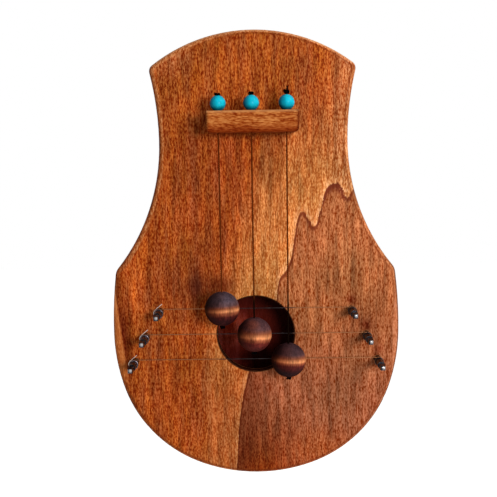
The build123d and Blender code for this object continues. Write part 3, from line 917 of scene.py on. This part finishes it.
# %% The rail, with its grain lengthwise
RAIL_GRAIN = {
    "Waver": 1.2 * MM,
    "Fleck Width": 0.8 * MM,
    "Fleck Length": 5.5 * MM,
    "Streak Width": 3 * MM,
    "Streak Length": 30 * MM,
    "Cloud Size": 20 * MM,
}
RAIL_EDGE = {"Width": 1.2 * MM, "Reach": 8 * MM}
RAIL_TURN = (0.0, math.radians(86.0), 0.0)  # a little askew, as it was sawn
RAIL_STAIN, RAIL_TOP_HIGHLIGHT = (0.375, 0.090, 0.0145), (0.62, 0.29, 0.11)
RAIL_UNDER_SHADE, RAIL_END = (0.70, 0.41, 0.30), (0.40, 0.27, 0.22)
place = new_finish("stained_rail")
lengthwise = put("ShaderNodeMapping", {"Vector": place, "Rotation": RAIL_TURN}).outputs[0]
grained = use_group(grain, {"Place": lengthwise, **RAIL_GRAIN})
edge = use_group(edges, RAIL_EDGE)
colour = stain(tone(grained, 1.3, 0.5, 0.3), RAIL_STAIN, 0.66)
apart = axes(place)
# painted shade on the rail's lower part, which faces down
shade_under = spread(apart["Z"], rail_low.z + 5.5 * MM, rail_low.z + 1.5 * MM)
colour = tint(shade_under, colour, RAIL_UNDER_SHADE)
# painted highlight along the rail's top edge
lit_upper_edge = spread(apart["Z"], rail_high.z - 1.8 * MM, rail_high.z - 0.8 * MM, 0.0, 0.5)
colour = mix(lit_upper_edge, colour, RAIL_TOP_HIGHLIGHT)
right_end = spread(apart["X"], rail_high.x - 2.2 * MM, rail_high.x - 0.8 * MM)
colour = tint(right_end, colour, RAIL_END)
finish_wood(colour, grained, edge)
print(f"rail with {len(Desk.tree.nodes)} nodes")

# %% Bare hardwood inside the box
BARE_WOOD, BARE_ROUGH = (0.48, 0.30, 0.15), 0.7
place = new_finish("bare_hardwood")
grained = use_group(grain, {"Place": place, "Fleck Length": 2 * MM})
colour = stain(tone(grained, 0.5, 0.5, 0.3), BARE_WOOD, 0.3)
paint(colour)
Desk.shader["Roughness"].default_value = BARE_ROUGH
raise_by(grained["Fleck"], 0.05 * MM)
print(f"{len(finishes)} wood finishes")

# %% [markdown]
# ## Charred balls
# The balls are turned from pale wood and charred, and a stripe round the middle was left or sanded pale.
# The stripe belongs to each ball, so each gets its own finish: a colour ramp that runs up the ball, with its
# steps shaken by the grain, a painted sheen on the head and painted shade on the left side. Each ball hangs
# with its stripe a little askew.

# %% The char and the stripes
# the grey-violet of the top steps is a painted sheen of the room's light on the char
CHAR_AND_SHEEN = (
    (0.00, (0.026, 0.006, 0.007)),
    (0.33, (0.080, 0.0125, 0.0095)),
    (0.44, (0.27, 0.070, 0.030)),
    (0.50, (0.62, 0.225, 0.087)),
    (0.62, (0.22, 0.061, 0.025)),
    (0.74, (0.080, 0.036, 0.036)),
    (0.95, (0.055, 0.029, 0.033)),
)  # from the foot of a ball to its head
STRIPE_TILT = {"left": 0.04, "middle": -0.06, "right": -0.07}  # to the left
STRIPE_LEAN = 0.09  # to the front
STRIPE_DROP = {"left": 0.7 * MM, "middle": 0.8 * MM, "right": -0.4 * MM}  # below the middle of each ball
STRIPE_ABOVE = {"left": 1.5, "middle": 1.0, "right": 1.2}  # how fast the char closes in above the stripe
STRIPE_BELOW = {"left": 1.0, "middle": 1.0, "right": 1.4}  # and below it
SHAKE = 0.4 * MM  # how far the grain shakes the ramp's steps


def striped(local, grained, side, tall):
    """The ball's colour from its foot to its head."""
    apart = axes(local)
    height = scaled(apart["X"], -STRIPE_TILT[side], apart["Z"])
    height = scaled(apart["Y"], STRIPE_LEAN, height)
    height = maths("ADD", height, STRIPE_DROP[side])
    below = times(maths("MINIMUM", height, 0.0), STRIPE_BELOW[side])
    height = scaled(maths("MAXIMUM", height, 0.0), STRIPE_ABOVE[side], below)
    shaken = scaled(grained["Fleck"], SHAKE, maths("ADD", height, -SHAKE / 2))
    return ramp(spread(shaken, -tall, tall, -0.5, 1.5), CHAR_AND_SHEEN)


print(f"char in {len(CHAR_AND_SHEEN)} steps")

# %% The balls' finishes
BALL_GRAIN = {
    "Fleck Width": 0.7 * MM,
    "Fleck Length": 6 * MM,
    "Streak Width": 2 * MM,
    "Streak Length": 20 * MM,
    "Cloud Size": 9 * MM,
}
BALL_GLOSS = 0.03
# HEAD tints each ball's head, partly its char and partly its painted sheen
HEAD = {"left": (1.0, 1.3, 1.5), "middle": (1.25, 1.05, 1.05), "right": (0.66, 0.62, 0.66)}
FOOT = {"left": (0.55, 0.5, 0.65), "middle": (1.8, 1.6, 1.5), "right": (0.6, 0.55, 0.6)}
RUST = {"left": 0.15, "middle": 0.85, "right": 0.25}  # how far a rusty patch shows on the head
RUST_PLACE = Vector((-0.1, -0.7, 0.75))  # in radii from the middle of the ball
RUSTY, BALL_LEFT_SHADE = (0.105, 0.036, 0.024), (1.0, 0.55, 0.45)
for side in SIDES:
    place = new_finish(f"charred_ball_{side}")
    low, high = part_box(f"ball_{side}")
    ball_r = (high.x - low.x) / 2
    local = vectors("SUBTRACT", place, tuple((low + high) / 2))
    own = vectors("ADD", local, (0, STRIPE_TILT[side], 0))  # so that no two balls share their grain
    grained = use_group(grain, {"Place": own, **BALL_GRAIN})
    charred = striped(local, grained, side, high.z - low.z)
    rusty = vectors("DISTANCE", local, tuple(ball_r * RUST_PLACE))
    rusty = spread(rusty, 0.55 * ball_r, 0.2 * ball_r, 0.0, RUST[side])
    charred = mix(rusty, charred, RUSTY)
    apart = axes(local)
    charred = tint(spread(apart["Z"], 0.25 * ball_r, 0.6 * ball_r), charred, HEAD[side])
    charred = tint(spread(apart["Z"], -0.2 * ball_r, -0.5 * ball_r), charred, FOOT[side])
    # painted shade: each ball darkens towards its left side, away from the lamps
    lit_share = spread(apart["X"], -0.9 * ball_r, 0.2 * ball_r, 0.08, 1.0)
    charred = tint(maths("SUBTRACT", 1.0, lit_share), charred, BALL_LEFT_SHADE)
    soot = spread(tone(grained, 0.7, 0.6, 0.6), 0.0, 1.0, 0.5, 1.5)
    colour = shaded(charred, times(soot, lit_share))
    dress(colour, spread(grained["Fleck"], 0.0, 1.0, 0.55, 0.42), BALL_GLOSS)
    hollow = scaled(grained["Pore"], -0.5, grained["Fleck"])
    raise_by(hollow, 0.05 * MM)
print(f"{len(SIDES)} balls charred")

# %% [markdown]
# ## Beads, cord and metal
# The beads are polished turquoise with faint clouds and a few dark veins. The cord is nearly black, with
# brown wax in its grooves. The pins are blued steel with a highlight painted on each tip, and the wire has
# dulled; it carries a painted reflection of the wood and painted glints where it is wound. Small pieces need
# only one or two effects to be told apart, so each is built from the same few noises and groups.

# %% Turquoise
BEAD_DARK, BEAD_LIGHT = (0.001, 0.31, 0.45), (0.006, 0.54, 0.69)
VEIN, BEAD_GRIME_AND_SHADE, BEAD_SHADE = (0.012, 0.06, 0.07), (0.001, 0.03, 0.05), (0.05, 0.22, 0.32)
BEAD_GLOSS = 0.06
VEINS_PER_METRE = 420.0
place = new_finish("turquoise")
clouds = noise(place, 3 * MM, 3 * MM, 3.0, 8.0)
colour = mix(spread(clouds, 0.3, 0.7), BEAD_DARK, BEAD_LIGHT)
cells = {"Vector": place, "Scale": VEINS_PER_METRE}
between = put("ShaderNodeTexVoronoi", cells, feature="DISTANCE_TO_EDGE").outputs["Distance"]
vein = times(spread(between, 0.035, 0.0), spread(clouds, 0.52, 0.66))
colour = mix(times(vein, 0.6), colour, VEIN)
edge = use_group(edges, {"Width": 0.4 * MM, "Reach": 10 * MM})
# grime and painted shade in the bead's hollows, darkest down by the rail
colour = mix(times(edge["Grime"], 0.8), colour, BEAD_GRIME_AND_SHADE)
turned = axes(put("ShaderNodeTexCoord").outputs["Normal"])["X"]
colour = tint(spread(turned, 0.0, -0.85, 0.0, 0.9), colour, BEAD_SHADE)
dress(colour, spread(clouds, 0.3, 0.7, 0.24, 0.34), BEAD_GLOSS)
raise_by(vein, 0.03 * MM)
print(f"beads with {len(Desk.tree.nodes)} nodes")

# %% Waxed cord, and its knots, which the wax has soaked
CORDS = (
    ("waxed_cord", (0.045, 0.0085, 0.0015), (0.150, 0.0250, 0.0035), (0.180, 0.035, 0.006)),
    ("waxed_knot", (0.003, 0.0013, 0.0014), (0.013, 0.0042, 0.0036), (0.022, 0.008, 0.005)),
)  # dark and light fibres, and wax
SHADED_AND_BLACK = (0.04, 0.08, 0.20)  # painted shade on the cords low down, in front of the sound hole and beside the balls, and black cord above the beads
CORD_GLOSS = 0.01
for name, dark, light, wax in CORDS:
    place = new_finish(name)
    fibres = noise(place, 0.14 * MM, 0.7 * MM, 2.0, 9.0)
    waxy = noise(place, 3 * MM, 6 * MM, 2.0, 10.0)
    colour = mix(spread(fibres, 0.3, 0.7), dark, light)
    colour = mix(spread(waxy, 0.5, 0.75, 0.0, 0.35), colour, wax)
    height = axes(place)["Z"]
    above_beads = spread(height, bead_tops["left"].z - 0.8 * MM, bead_tops["left"].z)
    shaded_and_black = maths("MAXIMUM", climb(height, 34, 26), above_beads)
    colour = tint(shaded_and_black, colour, SHADED_AND_BLACK)
    dress(colour, spread(waxy, 0.3, 0.7, 0.65, 0.5), CORD_GLOSS)
    raise_by(fibres, 0.04 * MM)
print(f"{len(CORDS)} cord finishes")


# %% Metals
def finish_metal(name, dark, light, rough, width, length):
    """A worked metal with fine lines along Z and dulled patches. Its colour is still to be linked."""
    place = new_finish(name)
    lined = {"Place": place, "Line Width": width * MM, "Line Length": length * MM}
    marked = use_group(marks, lined)
    colour = mix(marked["Patches"], dark, light)
    edge = use_group(edges, {"Width": 0.4 * MM, "Reach": 2 * MM})
    # grime and painted shade in the metal's inner corners
    grime_and_shade = tuple(0.25 * part for part in dark)
    colour = mix(times(edge["Grime"], 0.7), colour, grime_and_shade)
    uneven = spread(marked["Lines"], 0.0, 1.0, rough - 0.07, rough + 0.10)
    link(uneven, Desk.shader["Roughness"])
    Desk.shader["Metallic"].default_value = 1.0
    raise_by(marked["Lines"], 0.008 * MM)
    return place, colour, edge, marked


METALS = (
    # the wire's ends: a brighter copy of the wire's metal, a painted highlight on them
    ("cut_wire", (0.40, 0.33, 0.28), (0.62, 0.52, 0.45), 0.28, 0.06, 3),
    ("zinc_plate", (0.40, 0.41, 0.42), (0.60, 0.60, 0.58), 0.38, 0.2, 12),
    ("screw_steel", (0.36, 0.36, 0.37), (0.55, 0.55, 0.54), 0.32, 0.1, 2),
)  # dark and light colour, roughness, and width and length of the lines in millimetres
for metal in METALS:
    place, colour, edge, marked = finish_metal(*metal)
    paint(colour)
print(f"{len(METALS)} plain metals")

# %% The wires, with a painted reflection of the wood where they cross it and painted glints where they are wound
STRING = ("string_wire", (0.016, 0.013, 0.014), (0.046, 0.037, 0.038), 0.34, 0.06, 3)
MIRRORED, WOUND_GLINT = (0.24, 0.095, 0.040), (0.22, 0.19, 0.22)
place, colour, edge, marked = finish_metal(*STRING)
apart = axes(place)
wire_y = front_y - STRING_OUT
straight = spread(apart["Y"], wire_y - 2.0 * WIRE_R, wire_y - 1.2 * WIRE_R)
# painted reflection of the wood on the straight wire over the board
over_wood = spread(maths("ABSOLUTE", apart["X"]), 24 * MM, 28 * MM)
colour = mix(times(over_wood, straight), colour, MIRRORED)
# painted glints on the wire wound round the tuning pins
on_pins = spread(apart["X"], -45 * MM, -55 * MM)
wound = times(on_pins, maths("SUBTRACT", 1.0, straight), marked["Patches"])
colour = mix(wound, colour, WOUND_GLINT)
paint(colour)
print(f"wires with {len(Desk.tree.nodes)} nodes")

# %% The pins, with a highlight painted on each tip
PIN = ("pin_steel", (0.010, 0.010, 0.013), (0.045, 0.045, 0.055), 0.26, 0.12, 3)
TIP_HIGHLIGHT = (0.44, 0.42, 0.42)
TIP_RIGHT, TIP_UP = 0.5 * MM, 0.6 * MM  # from a pin's middle to the brightest place on its tip
TIP_R, TIP_CORE = 1.6 * MM, 0.3 * MM
place, colour, edge, marked = finish_metal(*PIN)
tip_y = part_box("tuning_pin_top")[0].y
wear_and_highlight = times(edge["Wear"], 0.08)
for x, z in pins.values():
    for middle in (x, -x):
        away = vectors("DISTANCE", place, (middle + TIP_RIGHT, tip_y, z + TIP_UP))
        wear_and_highlight = maths("MAXIMUM", wear_and_highlight, spread(away, TIP_R, TIP_CORE))
paint(mix(wear_and_highlight, colour, TIP_HIGHLIGHT))
print(f"{len(finishes)} finishes in all")

# %% Give every piece its finish
WOODS = {"soundboard": "stained_board", "clapper_rail": "stained_rail", "back_panel": "stained_back"}
slot_of = {row["node"]: row["material_slot"] for row in frame["record"]["subparts"]}
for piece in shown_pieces():
    slot = slot_of[piece.name] if piece.name in slot_of else piece["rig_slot"]
    if slot == "charred_wood":
        name = f"charred_{piece.name}"
    elif piece.name.startswith("wire_end"):
        name = "cut_wire"
    elif "_knot_" in piece.name:
        name = "waxed_knot"
    elif slot in ("stained_wood", "rail_wood"):
        name = WOODS.get(piece.name, "stained_sides")
    else:
        name = slot
    piece.data.materials.clear()
    piece.data.materials.append(finishes[name])

# %% [markdown]
# ## A pale room with soft light
# The picture shows the harp cut out on white, lit softly from the right and a little from above. The room is
# white where the camera or a reflection looks at it and dimmer where it only fills shadows. A large lamp in
# front and to the right gives the short shadow beside the rail, which a shadow painted on the board deepens,
# and a weaker one, high on the right, grazes the rounded edges.

# %% The white world
AMBIENT = 0.22


def seen_white(low, high):
    """A strength for what the camera, a reflection or glass looks at, and a lower one for the rest."""
    path = put("ShaderNodeLightPath").outputs
    seen = path["Is Camera Ray"]
    for kind in ("Is Glossy Ray", "Is Transmission Ray"):
        seen = maths("MAXIMUM", seen, path[kind])
    return spread(seen, 0.0, 1.0, low, high)


world = bpy.data.worlds.new("white_room")
bpy.context.scene.world = world
world.use_nodes = True
Desk.tree = world.node_tree
background = Desk.tree.nodes["Background"].inputs
background["Color"].default_value = (1, 1, 1, 1)
link(seen_white(AMBIENT, 1.0), background["Strength"])
print(f"room with an ambient light of {AMBIENT}")

# %% The floor
FLOOR_Z, FLOOR_SIZE = -0.62, 6.0
FLOOR_DARK, FLOOR_LIGHT = (0.85, 0.84, 0.82), (0.87, 0.86, 0.84)
FLOOR_ROUGH, FLOOR_GLOW = 0.9, 0.8
bpy.ops.mesh.primitive_plane_add(size=FLOOR_SIZE, location=(0, 0, FLOOR_Z))
floor = bpy.context.object
floor.name = "floor"
floor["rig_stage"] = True
place = new_finish("pale_floor")
dust = noise(place, 0.4, 0.4, 3.0, 11.0)
paint(mix(dust, FLOOR_DARK, FLOOR_LIGHT))
Desk.shader["Roughness"].default_value = FLOOR_ROUGH
Desk.shader["Emission Color"].default_value = (1, 1, 1, 1)
link(seen_white(0.0, FLOOR_GLOW), Desk.shader["Emission Strength"])
floor.data.materials.append(finishes["pale_floor"])
print(f"floor {-FLOOR_Z:.2f} m below the origin")

# %% The lamps
AIM = Vector((0, -0.03, -0.12))
LAMPS = (
    ("key_light", (0.44, -0.95, 0.06), 0.30, 8.0),
    ("edge_light", (0.75, -0.35, 0.60), 0.70, 4.8),
)  # name, place, size and power
for name, at, size, power in LAMPS:
    bpy.ops.object.light_add(type="AREA", location=at)
    lamp = bpy.context.object
    lamp.name = name
    lamp.data.shape = "DISK"
    lamp.data.size = size
    lamp.data.energy = power
    lamp.rotation_euler = (AIM - Vector(at)).to_track_quat("-Z", "Y").to_euler()
bpy.context.scene.view_settings.view_transform = "Standard"
print(f"{len(LAMPS)} lamps")

# %% Sizes, and the end
low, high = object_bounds()
